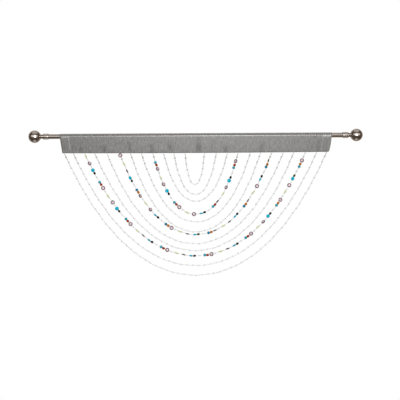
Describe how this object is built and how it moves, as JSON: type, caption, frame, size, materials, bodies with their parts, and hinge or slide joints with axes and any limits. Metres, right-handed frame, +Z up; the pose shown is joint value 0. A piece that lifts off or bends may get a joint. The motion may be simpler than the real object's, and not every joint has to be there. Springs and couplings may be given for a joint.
{
  "type": "beaded valance on a curtain rod",
  "caption": "Grey cloth heading pocketed on a ball-ended curtain rod, with nested swags of clear and coloured beads hanging from its lower edge.",
  "frame": {"origin": "middle of the rod's axis", "axes": "+X along the rod to the right as seen from the room, +Y towards the wall, +Z up"},
  "size_m": [1.123, 0.0418, 0.4922],
  "materials": {
    "nickel": "satin nickel, bright where it faces the light",
    "linen": "plain weave, matt, with a little slub",
    "beads": "clear and coloured beads on a fine thread, glossy"
  },
  "bodies": {
    "root": {"rod": "nickel", "finial_left": "nickel", "finial_right": "nickel", "heading": "linen", "bead_swags": "beads"}
  },
  "joints": []
}
